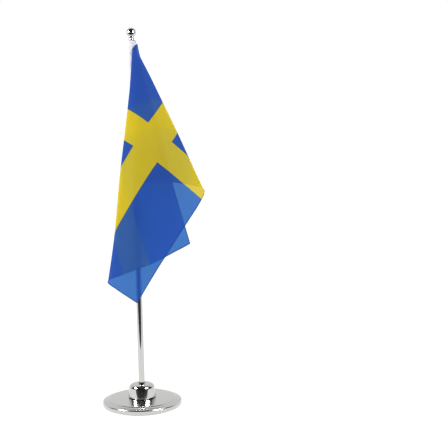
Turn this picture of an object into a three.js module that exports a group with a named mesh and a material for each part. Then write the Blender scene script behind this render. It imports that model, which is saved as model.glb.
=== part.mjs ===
// Desk flag stand: a weighted round foot with a domed hub, a slim pole with a ball on top, and a
// small cloth flag that hangs in folds from a sleeve round the pole.
// Millimetres, +Z up. The origin is on the pole's axis at table height. The flag hangs towards +X
// and its front panel faces -Y.
import * as THREE from "three";

// ---- driving dimensions ----
const OVERALL_HEIGHT = 380;
const GAP = 0.3; // between pieces that touch

const BASE_DIAMETER = 80;
const BASE_SHEET = 0.9; // thickness of the stamped cover
const RIM_HEIGHT = 6.2; // top of the upright rim
const RIM_ROUND = 1.6;
const RIM_LIP = 2.6; // how far the rim is rolled in under the foot
const RIDGE_INSET = 6.6; // from the rim to the inner ridge
const FIELD_HEIGHT = 8.2; // the flat field inside the inner ridge
const FIELD_RISE = 1.0; // the field climbs this much towards the hub

const HUB_DIAMETER = 28.2; // at its foot
const HUB_HEIGHT = 23.4; // its top, above the table
const HUB_TAPER = 1.2; // how much its radius shrinks from its foot to its shoulder
const HUB_SHOULDER = 5.8; // the shoulder's round, across
const HUB_SHOULDER_HEIGHT = 4.2;
const HUB_CROWN = 0.3; // how far the top is domed
const BOSS_RADIUS = 7.6; // the casting's boss, which centres the hub
const BOSS_CAP = 1.5;

const PAD_THICKNESS = 1.5;
const PLATE_THICKNESS = 1.0;

const SOCKET_SHANK = 6; // diameter
const SOCKET_DEPTH = 2; // its top is this far under the hub's
const PLAIN_WASHER_THICKNESS = 1.2;
const LOCK_WASHER_THICKNESS = 1.6;
const LOCK_WASHER_SLIT = 0.9;
const NUT_ACROSS_FLATS = 10;
const NUT_THICKNESS = 4;

const POLE_DIAMETER = 6;
const POLE_WALL = 0.5;
const POLE_HOLE_CLEARANCE = 0.55; // radial, in the hub's top
const FOOT_WASHER_THICKNESS = 0.8;
const FOOT_STUD = 4; // thread's outside diameter
const FOOT_PITCH = 0.7;
const FOOT_TURNS = 12; // turns of thread in the socket
const FOOT_STUD_SHANK = 14; // length held inside the pole
const THREAD_CLEARANCE = 0.15; // radial

const BALL_DIAMETER = 9.3;
const COLLAR_INSET = 0.25; // the collar's side is this far inside the pole's
const COLLAR_LENGTH = 3.2; // seen under the ball
const TOP_STUD = 3;
const TOP_PITCH = 0.5;
const TOP_TURNS = 12; // turns of thread in the bush
const TOP_STUD_IN_BALL = 3.5;
const TOP_WASHER_THICKNESS = 0.5;

const CLOTH_LENGTH = 224; // the whole print, hoist to fly
const CLOTH_HEIGHT = 140;
const SEAM_ALLOWANCE = 11.2; // the part of the print that is sewn into the sleeve
const CLOTH_THICKNESS = 0.5;
const SLEEVE_SLACK = 0.35; // between pole and sleeve
const SLEEVE_CLOTH = 0.5;
const SLEEVE_TAIL = 1.6; // from the sleeve's round part to the seam
const SLEEVE_RISE = 0.6; // how far the sleeve's top stands above the pole's end
const CORNER_DROP = 3.2; // the cloth's top corner is this far under the sleeve's top
const STOP_RING_SECTION = 1.8;

// How the cloth hangs. Every thread line from its top corner at the hoist falls straight, and
// looked at along those lines the cloth is a strip laid out in bends: each entry is a stretch of
// the strip and how far it turns there, both in degrees, from the hoist edge to the top edge.
const HANG_START = 63.4; // the direction in which the strip leaves the hoist, from +X towards +Y
const HANG = [
  { run: 25.9, turn: -87.9 }, // the layer behind, which bows away from the pole
  { run: 5, turn: -108.6 }, // the right-hand fold
  { run: 32.3, turn: -61.5 }, // the front panel, bent softly round towards its left-hand side
  { run: 3.3, turn: -148.5 }, // the left-hand fold
  { run: 23.5, turn: 29.9 }, // the flap between the panel and the pole
];
const WRAP_ACROSS = 4.22; // the folds wrap round the sleeve: how far they shift towards -X
const WRAP_FORWARD = 3.4; // and towards -Y
const WRAP_ACROSS_WITHIN = 2.55; // distance from the corner over which they come across
const WRAP_FORWARD_WITHIN = 2.5; // and over which they come forward
const WRAP_KEPT = 0.675; // share of the shift across that is left below WRAP_EASED_BY
const WRAP_EASED_BY = 42;
const BIAS_STRETCH = 0.035; // the cloth gives on the bias: how much longer its lines at 62 degrees are
const BIAS_DRAW = 0.033; // and how much shorter those at 34 degrees near the corner
const CORNER_GATHER = 4; // the first stretch from the corner is caught in the seam

// ---- levels and radii that follow ----
const baseRadius = BASE_DIAMETER / 2;
const hubRadius = HUB_DIAMETER / 2;
const poleRadius = POLE_DIAMETER / 2;
const boreRadius = poleRadius - POLE_WALL;
const hubHoleRadius = poleRadius + POLE_HOLE_CLEARANCE;

const lipBottom = PAD_THICKNESS / 2;
const lipRadius = baseRadius - RIM_LIP;
const plateBottom = Math.max(PAD_THICKNESS, lipBottom + BASE_SHEET) + GAP;
const castingBottom = plateBottom + PLATE_THICKNESS + GAP;
const castingRadius = baseRadius - BASE_SHEET - GAP;

const hubSeat = FIELD_HEIGHT + FIELD_RISE + GAP;
const hubBoreRadius = SOCKET_SHANK / 2 + THREAD_CLEARANCE;
const socketTop = HUB_HEIGHT - SOCKET_DEPTH;
const nutBottom = castingBottom + GAP;
const lockBottom = nutBottom + NUT_THICKNESS + GAP;
const plainBottom = lockBottom + LOCK_WASHER_THICKNESS + GAP;
const recessTop = plainBottom + PLAIN_WASHER_THICKNESS + GAP;
const recessRadius = NUT_ACROSS_FLATS / Math.sqrt(3) + 0.6;
const bossTop = recessTop + BOSS_CAP;

const footWasherBottom = socketTop + GAP;
const poleBottom = footWasherBottom + FOOT_WASHER_THICKNESS + GAP;
const footTravel = FOOT_TURNS * FOOT_PITCH;
const footStudBottom = socketTop - footTravel;

const ballRadius = BALL_DIAMETER / 2;
const ballCentre = OVERALL_HEIGHT - ballRadius;
const collarRadius = poleRadius - COLLAR_INSET;
// the collar meets the ball where the ball is as wide as the collar
const ballSeat = ballCentre - Math.sqrt(ballRadius ** 2 - collarRadius ** 2);
const collarBottom = ballSeat - COLLAR_LENGTH;
const topWasherBottom = collarBottom - GAP - TOP_WASHER_THICKNESS;
const poleTop = topWasherBottom - GAP;
const topTravel = TOP_TURNS * TOP_PITCH;

const sleeveInner = poleRadius + SLEEVE_SLACK;
const sleeveOuter = sleeveInner + SLEEVE_CLOTH;
const sleeveTop = poleTop + SLEEVE_RISE;
const sleeveBottom = sleeveTop - CLOTH_HEIGHT;
const seamX = sleeveOuter + SLEEVE_TAIL;
const seamY = -poleRadius / 2;
const clothCorner = new THREE.Vector3(seamX + GAP + CLOTH_THICKNESS / 2, seamY, sleeveTop - CORNER_DROP);
const visibleLength = CLOTH_LENGTH - SEAM_ALLOWANCE;
const clothDrop = CLOTH_HEIGHT - CORNER_DROP;

// ---- finishes ----
const finish = (color, roughness, metalness) => new THREE.MeshStandardMaterial({ color, roughness, metalness });
const chrome = () => finish("#c9cacc", 0.08, 1);
const steel = () => finish("#8f9194", 0.4, 1);
const brass = () => finish("#b99a55", 0.35, 1);
const castIron = () => finish("#4a4a4b", 0.75, 0.8);
const blackRubber = () => finish("#1b1b1c", 0.8, 0);
const clearRubber = () => finish("#d9dcdf", 0.4, 0);
const whiteCloth = () => finish("#dcdde3", 0.9, 0);
const blueCloth = () => finish("#2d5fae", 0.85, 0);

const stand = new THREE.Group();

function place(name, geometry, material, z = 0) {
  const mesh = new THREE.Mesh(geometry, material);
  mesh.name = name;
  mesh.position.z = z;
  stand.add(mesh);
  return mesh;
}

// ---- shapes used more than once ----

// A turned piece: radius and height pairs, anticlockwise as seen with the axis on the left.
function turned(profile, segments) {
  const points = profile.map(([r, z]) => new THREE.Vector2(r, z));
  return new THREE.LatheGeometry(points, segments).rotateX(Math.PI / 2);
}

// The section of a plain ring, ready to be turned.
function ringSection(inner, outer, bottom, top) {
  return [
    [inner, bottom],
    [outer, bottom],
    [outer, top],
    [inner, top],
    [inner, bottom],
  ];
}

// Points on an arc of a section, from one angle to another in degrees, both ends included.
function arc(r, z, radius, from, to, steps) {
  return Array.from({ length: steps + 1 }, (_, i) => {
    const angle = THREE.MathUtils.degToRad(from + ((to - from) * i) / steps);
    return [r + radius * Math.cos(angle), z + radius * Math.sin(angle)];
  });
}

// A section line moved sideways by a distance, to the left of its direction.
function beside(line, distance) {
  return line.map(([r, z], i) => {
    const [r0, z0] = line[Math.max(i - 1, 0)];
    const [r1, z1] = line[Math.min(i + 1, line.length - 1)];
    const length = Math.hypot(r1 - r0, z1 - z0);
    return [r - (distance * (z1 - z0)) / length, z + (distance * (r1 - r0)) / length];
  });
}

// A flat piece cut from sheet: its outline, its holes and its thickness.
function sheetPiece(outline, holes, thickness) {
  outline.holes = holes;
  return new THREE.ExtrudeGeometry(outline, { depth: thickness, bevelEnabled: false, curveSegments: 16 });
}

// A closed surface over a grid of points whose columns go round, with flat ends.
function closedRod(rows, columns, pointAt) {
  const points = [];
  for (let i = 0; i < rows; i++) {
    for (let j = 0; j < columns; j++) points.push(...pointAt(i, j));
  }
  const [first, last] = [pointAt(0, 0)[2], pointAt(rows - 1, 0)[2]];
  points.push(0, 0, first, 0, 0, last);
  const [bottomCentre, topCentre] = [rows * columns, rows * columns + 1];
  const faces = [];
  for (let j = 0; j < columns; j++) {
    const k = (j + 1) % columns;
    for (let i = 0; i < rows - 1; i++) {
      const [a, b, c, d] = [i * columns + j, i * columns + k, (i + 1) * columns + k, (i + 1) * columns + j];
      faces.push(a, b, c, a, c, d);
    }
    faces.push(bottomCentre, k, j);
    faces.push(topCentre, (rows - 1) * columns + j, (rows - 1) * columns + k);
  }
  const geometry = new THREE.BufferGeometry();
  geometry.setAttribute("position", new THREE.Float32BufferAttribute(points, 3));
  geometry.setIndex(faces);
  return geometry;
}

// A threaded stud with a helical thread from z = 0 up, and a plain shank above it.
function stud(diameter, pitch, turns, shankRadius, shankLength) {
  const columns = 12;
  const perTurn = 4;
  const depth = 0.6 * pitch;
  const rootRadius = diameter / 2 - depth;
  const threadRows = turns * perTurn + 1;
  const threadLength = turns * pitch;
  const heights = Array.from({ length: threadRows }, (_, i) => (i * pitch) / perTurn);
  const shank = [threadLength + 0.4, threadLength + 0.4 + shankLength];
  const rows = threadRows + shank.length;
  return closedRod(rows, columns, (i, j) => {
    const angle = (2 * Math.PI * j) / columns;
    let radius = shankRadius;
    let z = shank[i - threadRows];
    if (i < threadRows) {
      z = heights[i];
      const phase = (z / pitch - j / columns + turns) % 1;
      const ends = i === 0 || i === threadRows - 1;
      radius = ends ? rootRadius : rootRadius + depth * (1 - Math.abs(2 * phase - 1));
    }
    return [radius * Math.cos(angle), radius * Math.sin(angle), z];
  });
}

// ---- the foot ----

// The outside line of the cover, from the rolled lip round the rim and in to the hole for the boss.
function coverLine() {
  const ridge = baseRadius - RIDGE_INSET;
  const lipRound = lipBottom + RIM_ROUND;
  return [
    [lipRadius, lipBottom],
    ...arc(baseRadius - RIM_ROUND, lipRound, RIM_ROUND, -90, 0, 3),
    ...arc(baseRadius - RIM_ROUND, RIM_HEIGHT - RIM_ROUND, RIM_ROUND, 0, 78, 4),
    [baseRadius - 2.6, RIM_HEIGHT + 0.1],
    [baseRadius - 3.1, RIM_HEIGHT + 0.6],
    [ridge + 1.2, FIELD_HEIGHT - 0.9],
    [ridge + 0.6, FIELD_HEIGHT - 0.3],
    [ridge - 0.3, FIELD_HEIGHT],
    [BOSS_RADIUS + GAP, FIELD_HEIGHT + FIELD_RISE],
  ];
}

function baseShell() {
  const outside = coverLine();
  const inside = beside(outside, BASE_SHEET).reverse();
  return turned([...outside, ...inside, outside[0]], 40);
}

// The hub is turned from solid: a flat top, a round shoulder, a side that widens a little towards
// its foot, and a hollow underneath for the boss.
function hub() {
  const shoulderRadius = hubRadius - HUB_TAPER - HUB_SHOULDER;
  const shoulderZ = HUB_HEIGHT - HUB_CROWN - HUB_SHOULDER_HEIGHT;
  const shoulder = arc(shoulderRadius, 0, HUB_SHOULDER, 8, 84, 8);
  const hollow = BOSS_RADIUS + GAP;
  return turned(
    [
      [hollow, hubSeat],
      [hubRadius - 0.3, hubSeat],
      [hubRadius, hubSeat + 0.3],
      ...shoulder.map(([r, z]) => [r, shoulderZ + (z * HUB_SHOULDER_HEIGHT) / HUB_SHOULDER]),
      [(shoulderRadius + hubHoleRadius) / 2, HUB_HEIGHT - HUB_CROWN * 0.3],
      [hubHoleRadius, HUB_HEIGHT],
      [hubHoleRadius, socketTop],
      [hubBoreRadius, socketTop],
      [hubBoreRadius, bossTop + GAP],
      [hollow, bossTop + GAP],
      [hollow, hubSeat],
    ],
    40,
  );
}

// The casting fills the cover: a disc under the field and a boss up into the hub.
function ballastCasting() {
  const clear = BASE_SHEET + GAP;
  const underField = FIELD_HEIGHT - clear - 0.2;
  const rimStep = RIM_HEIGHT - clear - RIM_ROUND / 2;
  const ridge = baseRadius - RIDGE_INSET - clear;
  const bore = SOCKET_SHANK / 2 + GAP;
  return turned(
    [
      [recessRadius, castingBottom],
      [castingRadius - RIM_ROUND / 2, castingBottom],
      [castingRadius - RIM_ROUND / 2, rimStep],
      [ridge, underField],
      [BOSS_RADIUS, underField],
      [BOSS_RADIUS, bossTop],
      [bore, bossTop],
      [bore, recessTop],
      [recessRadius, recessTop],
      [recessRadius, castingBottom],
    ],
    40,
  );
}

function disc(radius, thickness) {
  return new THREE.CylinderGeometry(radius, radius, thickness, 40)
    .rotateX(Math.PI / 2)
    .translate(0, 0, thickness / 2);
}

function buildFoot() {
  place("base_shell", baseShell(), chrome());
  place("hub_knob", hub(), chrome());
  place("ballast_casting", ballastCasting(), castIron());
  place("bottom_plate", disc(castingRadius - RIM_ROUND / 2, PLATE_THICKNESS), steel(), plateBottom);
  place("base_pad", disc(lipRadius - GAP, PAD_THICKNESS), blackRubber());
}

// ---- the socket that the pole screws into ----

function poleSocket() {
  return turned(ringSection(FOOT_STUD / 2 + THREAD_CLEARANCE, SOCKET_SHANK / 2, nutBottom, socketTop), 24);
}

function circleHole(radius) {
  return new THREE.Path().absarc(0, 0, radius, 0, 2 * Math.PI, true);
}

function plainWasher(inner, outer, thickness) {
  return turned(ringSection(inner, outer, 0, thickness), 24);
}

// A spring washer: a flat ring with a slit through it.
function lockWasher(inner, outer, thickness) {
  const innerHalf = Math.asin(LOCK_WASHER_SLIT / 2 / inner);
  const outerHalf = Math.asin(LOCK_WASHER_SLIT / 2 / outer);
  const outline = new THREE.Shape();
  outline.absarc(0, 0, outer, outerHalf, 2 * Math.PI - outerHalf, false);
  outline.absarc(0, 0, inner, 2 * Math.PI - innerHalf, innerHalf, true);
  outline.closePath();
  return sheetPiece(outline, [], thickness);
}

function hexagonNut(acrossFlats, holeRadius, thickness) {
  const corner = acrossFlats / Math.sqrt(3);
  const corners = Array.from({ length: 6 }, (_, i) => {
    const angle = (i * Math.PI) / 3;
    return new THREE.Vector2(corner * Math.cos(angle), corner * Math.sin(angle));
  });
  return sheetPiece(new THREE.Shape(corners), [circleHole(holeRadius)], thickness);
}

function buildSocket() {
  const hole = SOCKET_SHANK / 2 + GAP;
  const washerRadius = NUT_ACROSS_FLATS / Math.sqrt(3);
  place("pole_socket", poleSocket(), brass());
  place("socket_washer", plainWasher(hole, washerRadius, PLAIN_WASHER_THICKNESS), steel(), plainBottom);
  place(
    "socket_lock_washer",
    lockWasher(hole, NUT_ACROSS_FLATS / 2, LOCK_WASHER_THICKNESS),
    steel(),
    lockBottom,
  );
  place("socket_nut", hexagonNut(NUT_ACROSS_FLATS, hole, NUT_THICKNESS), brass(), nutBottom);
}

// ---- the pole ----

function buildPole() {
  const fixedRadius = boreRadius - GAP;
  const washerHole = FOOT_STUD / 2 + THREAD_CLEARANCE;
  const footWasher = plainWasher(washerHole, poleRadius + POLE_HOLE_CLEARANCE - GAP, FOOT_WASHER_THICKNESS);
  const footThreadTurns = Math.ceil((poleBottom - footStudBottom) / FOOT_PITCH);
  const bushLength = topTravel + 2;
  place("pole_foot_washer", footWasher, blackRubber(), footWasherBottom);
  place("pole_tube", turned(ringSection(boreRadius, poleRadius, poleBottom, poleTop), 24), chrome());
  place(
    "pole_foot_stud",
    stud(FOOT_STUD, FOOT_PITCH, footThreadTurns, fixedRadius, FOOT_STUD_SHANK),
    steel(),
    footStudBottom,
  );
  place(
    "pole_top_bush",
    turned(ringSection(TOP_STUD / 2 + THREAD_CLEARANCE, fixedRadius, poleTop - bushLength, poleTop), 24),
    steel(),
  );
}

// ---- the ball and its collar ----

function ball(holeRadius, holeDepth) {
  const seatAngle = -THREE.MathUtils.radToDeg(Math.acos(collarRadius / ballRadius));
  const seat = -Math.sqrt(ballRadius ** 2 - collarRadius ** 2) + GAP;
  const side = arc(0, 0, ballRadius, seatAngle + 6, 90, 12);
  side[side.length - 1][0] = 0;
  return turned(
    [[0, seat + holeDepth], [holeRadius, seat + holeDepth], [holeRadius, seat], [collarRadius, seat], ...side],
    24,
  );
}

// The collar narrows a little at its middle, as a turned neck does.
function collar(holeRadius) {
  const waist = collarRadius - 0.25;
  return turned(
    [
      [holeRadius, 0],
      [collarRadius, 0],
      [collarRadius, 0.5],
      [waist, 1],
      [waist, COLLAR_LENGTH - 1],
      [collarRadius, COLLAR_LENGTH - 0.5],
      [collarRadius, COLLAR_LENGTH],
      [holeRadius, COLLAR_LENGTH],
      [holeRadius, 0],
    ],
    24,
  );
}

function buildFinial() {
  const hole = TOP_STUD / 2 + THREAD_CLEARANCE;
  const studBottom = poleTop - topTravel;
  const studLength = ballSeat + TOP_STUD_IN_BALL - studBottom;
  const shankLength = studLength - topTravel - 0.4;
  const washer = plainWasher(hole, collarRadius, TOP_WASHER_THICKNESS);
  place("finial_washer", washer, blackRubber(), topWasherBottom);
  place("finial_collar", collar(hole), chrome(), collarBottom);
  place(
    "finial_stud",
    stud(TOP_STUD, TOP_PITCH, TOP_TURNS, TOP_STUD / 2, shankLength),
    steel(),
    studBottom,
  );
  place("finial_ball", ball(hole, TOP_STUD_IN_BALL + GAP), chrome(), ballCentre);
}

// ---- the sleeve and the ring under it ----

// Across, the sleeve is a round loop about the pole with a flat tail that ends at the seam.
function sleeve() {
  const tailHalf = SLEEVE_CLOTH;
  const outline = new THREE.Shape();
  const tailAngle = Math.atan2(seamY, seamX);
  outline.absarc(0, 0, sleeveOuter, tailAngle + 0.75, tailAngle - 0.75 + 2 * Math.PI, false);
  outline.lineTo(seamX, seamY - tailHalf);
  outline.lineTo(seamX, seamY + tailHalf);
  outline.closePath();
  return sheetPiece(outline, [circleHole(sleeveInner)], sleeveTop - sleeveBottom);
}

function stopRing() {
  const radius = STOP_RING_SECTION / 2;
  const section = arc(poleRadius + GAP + radius, 0, radius, 0, 360, 10);
  section[section.length - 1] = section[0];
  return turned(section, 24);
}

// ---- the cloth ----

// The strip that the hang describes, as the directions that thread lines fall in. Angle 0 is the
// cloth's top edge and 90 its hoist edge, which falls straight down beside the pole.
function hangStrip() {
  const steps = 720;
  const total = HANG.reduce((sum, part) => sum + part.run, 0);
  const points = [[0, 0]];
  for (let i = 0; i < steps; i++) {
    let left = ((i + 0.5) * total) / steps;
    let heading = HANG_START;
    for (const { run, turn } of HANG) {
      heading += turn * THREE.MathUtils.clamp(left / run, 0, 1);
      left -= run;
    }
    const angle = THREE.MathUtils.degToRad(heading);
    const [x, y] = points[i];
    points.push([x + (Math.cos(angle) * 90) / steps, y + (Math.sin(angle) * 90) / steps]);
  }
  return (clothAngle) => {
    const at = ((90 - clothAngle) / 90) * steps;
    const i = Math.min(Math.floor(at), steps - 1);
    const t = at - i;
    return [0, 1].map((axis) => points[i][axis] * (1 - t) + points[i + 1][axis] * t);
  };
}

const strip = hangStrip();

// A length of cloth along one of those lines after the weave has given under its own weight.
function givenLength(distance, clothAngle) {
  const bell = (middle, width) => Math.exp(-(((clothAngle - middle) / width) ** 2));
  const draw = BIAS_DRAW * bell(34, 14) * (1 - (distance / 250) ** 2);
  return distance * (1 + BIAS_STRETCH * bell(62, 12) - draw);
}

// Where a point of the cloth hangs: its distance from the top corner at the hoist, and the angle
// below the top edge of the line from that corner to it.
function clothPoint(flatDistance, clothAngle) {
  const [across, away] = strip(clothAngle);
  const distance = givenLength(flatDistance, clothAngle);
  const lean = Math.hypot(across, away);
  const share = lean > 0 ? Math.sin(THREE.MathUtils.degToRad(lean)) / lean : 0;
  const forward = THREE.MathUtils.smoothstep(90 - clothAngle, 0, 35);
  const over = THREE.MathUtils.smoothstep(90 - clothAngle, 10, 34);
  const kept = 1 - (1 - WRAP_KEPT) * THREE.MathUtils.smoothstep(distance, WRAP_ACROSS_WITHIN, WRAP_EASED_BY);
  const wrapAcross = over * WRAP_ACROSS * (1 - Math.exp(-distance / WRAP_ACROSS_WITHIN)) * kept;
  const wrapForward = forward * WRAP_FORWARD * (1 - Math.exp(-distance / WRAP_FORWARD_WITHIN));
  return new THREE.Vector3(
    clothCorner.x - wrapAcross + distance * share * across,
    clothCorner.y - wrapForward + distance * share * away,
    clothCorner.z - distance * Math.cos(THREE.MathUtils.degToRad(lean)),
  );
}

// The square of the cloth's way out: how far along its line from the corner its edge is.
function clothEdge(clothAngle) {
  const angle = THREE.MathUtils.degToRad(clothAngle);
  return Math.min(visibleLength / Math.cos(angle), clothDrop / Math.max(Math.sin(angle), 1e-6));
}

// Angles across the cloth, closer together in the folds, with one through its free corner.
function clothAngles() {
  const corner = THREE.MathUtils.radToDeg(Math.atan2(clothDrop, visibleLength));
  const angles = [corner];
  let from = 90;
  for (const { run, turn } of HANG) {
    const steps = Math.ceil(Math.max(Math.abs(turn) / 18, run / 4));
    for (let i = 0; i < steps; i++) {
      const angle = from - (run * i) / steps;
      if (Math.abs(angle - corner) > 0.4) angles.push(angle);
    }
    from -= run;
  }
  return [...angles, 0].sort((a, b) => a - b);
}

function cloth() {
  const angles = clothAngles();
  const shares = [0, 0.04, 0.12, 0.25, 0.45, 0.7, 1];
  const [rows, columns] = [angles.length, shares.length];
  const at = (i, j) => CORNER_GATHER + (clothEdge(angles[i]) - CORNER_GATHER) * shares[j];
  const points = [];
  for (const side of [-1, 1]) {
    for (let i = 0; i < rows; i++) {
      for (let j = 0; j < columns; j++) {
        const [distance, angle] = [at(i, j), angles[i]];
        const along = clothPoint(distance + 0.5, angle).sub(clothPoint(distance - 0.5, angle));
        const onwards = clothPoint(distance, Math.min(angle + 0.3, 90));
        const across = onwards.sub(clothPoint(distance, Math.max(angle - 0.3, 0)));
        const normal = along.cross(across).normalize();
        const point = clothPoint(distance, angle).addScaledVector(normal, (side * CLOTH_THICKNESS) / 2);
        points.push(point.x, point.y, point.z);
      }
    }
  }
  const back = rows * columns;
  const faces = [];
  const quad = (a, b, c, d) => faces.push(a, b, c, a, c, d);
  for (let i = 0; i < rows - 1; i++) {
    for (let j = 0; j < columns - 1; j++) {
      const [a, b] = [i * columns + j, i * columns + j + 1];
      const [c, d] = [b + columns, a + columns];
      quad(back + a, back + b, back + c, back + d);
      quad(d, c, b, a);
    }
    const [near, far] = [i * columns, i * columns + columns - 1];
    quad(near, back + near, back + near + columns, near + columns);
    quad(far + columns, back + far + columns, back + far, far);
  }
  for (let j = 0; j < columns - 1; j++) {
    const last = (rows - 1) * columns + j;
    quad(j + 1, back + j + 1, back + j, j);
    quad(last, back + last, back + last + 1, last + 1);
  }
  const geometry = new THREE.BufferGeometry();
  geometry.setAttribute("position", new THREE.Float32BufferAttribute(points, 3));
  geometry.setIndex(faces);
  return geometry;
}

function buildFlag() {
  const ringCentre = sleeveBottom - GAP - STOP_RING_SECTION / 2;
  place("sleeve_stop_ring", stopRing(), clearRubber(), ringCentre);
  place("flag_sleeve", sleeve(), whiteCloth(), sleeveBottom);
  place("flag_cloth", cloth(), blueCloth());
}

buildFoot();
buildSocket();
buildPole();
buildFinial();
buildFlag();

export default stand;
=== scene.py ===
# %% [markdown]
# # A desk flag stand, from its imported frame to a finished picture
#
# The object is a small flag on a chromed pole that screws into a weighted round foot.
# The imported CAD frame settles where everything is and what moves. This file makes the looks:
# polished metal turned at full smoothness, a thin printed cloth that hangs in folds, the sewn
# sleeve that holds it to the pole, and the thread that holds the sleeve together.
# It runs from top to bottom, cell by cell.

# %% Load the frame
import math

import bpy
import numpy as np
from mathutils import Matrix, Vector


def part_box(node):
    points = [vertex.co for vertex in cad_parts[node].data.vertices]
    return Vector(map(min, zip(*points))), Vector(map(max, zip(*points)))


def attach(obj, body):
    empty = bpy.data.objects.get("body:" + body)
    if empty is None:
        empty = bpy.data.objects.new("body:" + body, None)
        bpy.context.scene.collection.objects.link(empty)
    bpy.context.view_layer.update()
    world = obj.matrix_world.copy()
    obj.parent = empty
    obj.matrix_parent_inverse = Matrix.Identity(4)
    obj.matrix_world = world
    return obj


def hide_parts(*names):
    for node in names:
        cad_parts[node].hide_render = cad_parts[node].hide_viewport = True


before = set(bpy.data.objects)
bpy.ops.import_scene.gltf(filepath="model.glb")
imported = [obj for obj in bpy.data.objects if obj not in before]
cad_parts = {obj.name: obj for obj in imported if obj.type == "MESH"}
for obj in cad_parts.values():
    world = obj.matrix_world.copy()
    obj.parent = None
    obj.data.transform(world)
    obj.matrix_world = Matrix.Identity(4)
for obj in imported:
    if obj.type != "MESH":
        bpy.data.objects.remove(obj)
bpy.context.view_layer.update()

MM = 0.001

# %% [markdown]
# Most of what follows is measured from the frame, so that a changed CAD model still fits.
# The few sizes that the frame can't give, such as the thickness of cloth or the pitch of a
# thread, are real sizes in millimetres, named where they are first used.

# %% Sizes that come from the frame


def reach(node):
    """A turned node's largest radius, its lowest and its highest point, in metres."""
    low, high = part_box(node)
    return (high.x - low.x) / 2, low.z, high.z


base_radius, base_bottom, _ = reach("base_shell")
pole_radius, pole_bottom, pole_top = reach("pole_tube")
ball_radius, ball_seat, ball_top = reach("finial_ball")
collar_radius, collar_bottom, collar_top = reach("finial_collar")
socket_top = reach("pole_socket")[2]
print("pole from", round(pole_bottom / MM, 1), "to", round(pole_top / MM, 1), "mm")

# %% [markdown]
# ## Helpers
#
# Colours are written as the hex values that a painter would read off a screen, and turned into
# the linear numbers that light adds up in. One function adds a node, whatever its kind.

# %% Colours and nodes


def linear(colour):
    """An sRGB hex colour as linear red, green, blue and full alpha."""
    parts = [int(colour[i : i + 2], 16) / 255 for i in (0, 2, 4)]
    return [c / 12.92 if c <= 0.04045 else ((c + 0.055) / 1.055) ** 2.4 for c in parts] + [1.0]


def add(tree, kind, settings=None, links=None):
    """A new node. Settings are its own properties or its sockets' values; links feed its sockets."""
    node = tree.nodes.new(kind)
    for name, value in (settings or {}).items():
        if isinstance(name, str) and hasattr(node, name):
            setattr(node, name, value)
        else:
            node.inputs[name].default_value = value
    for name, source in (links or {}).items():
        tree.links.new(source, node.inputs[name])
    return node


def material(name):
    """An empty node material and its tree."""
    made = bpy.data.materials.new(name)
    made.use_nodes = True
    made.node_tree.nodes.clear()
    return made, made.node_tree


def finish_with(tree, shader):
    add(tree, "ShaderNodeOutputMaterial", links={"Surface": shader})


# %% [markdown]
# Turned parts are made the way a lathe makes them: one section, swept round the axis. A true
# sweep keeps every circle exact, and the section's points are shared, so polished metal shows
# one unbroken reflection. A section that closes on itself gives a wall of real thickness.

# %% Turned pieces


def mesh_piece(name, vertices, faces, smooth=True):
    mesh = bpy.data.meshes.new(name)
    mesh.from_pydata([tuple(v) for v in vertices], [], faces)
    mesh.update()
    mesh.polygons.foreach_set("use_smooth", [smooth] * len(mesh.polygons))
    piece = bpy.data.objects.new(name, mesh)
    bpy.context.scene.collection.objects.link(piece)
    return piece


def sharp_edges(piece, degrees):
    """Splits the shading where two faces meet at more than this angle."""
    bpy.context.view_layer.objects.active = piece
    with bpy.context.temp_override(object=piece, active_object=piece, selected_objects=[piece]):
        piece.data.set_sharp_from_angle(angle=math.radians(degrees))
    return piece


def braced(section, brace=0.3 * MM):
    """The same closed section with a point close to each end of its long straight runs.

    Shading is averaged at each point. Without these, a long side would be shaded as if it were
    bent all the way from one rounded end to the other."""
    out = []
    for i, here in enumerate(section):
        here, after = np.array(here, float), np.array(section[(i + 1) % len(section)], float)
        out.append(tuple(here))
        length = np.linalg.norm(after - here)
        if length > 4 * brace:
            way = (after - here) / length
            out += [tuple(here + way * brace), tuple(after - way * brace)]
    return out


def turned(name, section, segments=96):
    """Sweeps a closed section of (radius, height) points round the axis."""
    section = braced(section)
    angles = np.arange(segments) * 2 * math.pi / segments
    rows, vertices = [], []
    for r, z in section:
        if r < 1e-9:
            rows.append([len(vertices)] * segments)
            vertices.append((0, 0, z))
        else:
            rows.append(list(range(len(vertices), len(vertices) + segments)))
            vertices += [(r * math.cos(a), r * math.sin(a), z) for a in angles]
    faces = []
    for i, row in enumerate(rows):
        after = rows[(i + 1) % len(rows)]
        for j in range(segments):
            k = (j + 1) % segments
            corners = [row[j], row[k], after[k], after[j]]
            corners = [c for n, c in enumerate(corners) if c != corners[n - 1]]
            if len(corners) > 2:
                faces.append(corners)
    return sharp_edges(mesh_piece(name, vertices, faces), 32)


def arc(r, z, radius, start, end, steps):
    """Points on an arc of a section, both ends included. Angles are in degrees."""
    angles = np.radians(np.linspace(start, end, steps + 1))
    return [(r + radius * math.cos(a), z + radius * math.sin(a)) for a in angles]


def rounded(section, radius, steps=4):
    """The same closed section with each corner cut back to a small round."""
    points, out = np.array(section, float), []
    for i, here in enumerate(points):
        before, after = points[i - 1], points[(i + 1) % len(points)]
        into, away = here - before, after - here
        if here[0] < 1e-9 or min(np.linalg.norm(into), np.linalg.norm(away)) < 1e-9:
            out.append(tuple(here))
            continue
        reach_back = min(radius, 0.45 * np.linalg.norm(into), 0.45 * np.linalg.norm(away))
        start = here - into / np.linalg.norm(into) * reach_back
        end = here + away / np.linalg.norm(away) * reach_back
        for t in np.linspace(0, 1, steps + 1):
            out.append(tuple((1 - t) ** 2 * start + 2 * t * (1 - t) * here + t**2 * end))
    return out


def ring(inner, outer, bottom, top):
    return [(inner, bottom), (outer, bottom), (outer, top), (inner, top)]


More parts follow.
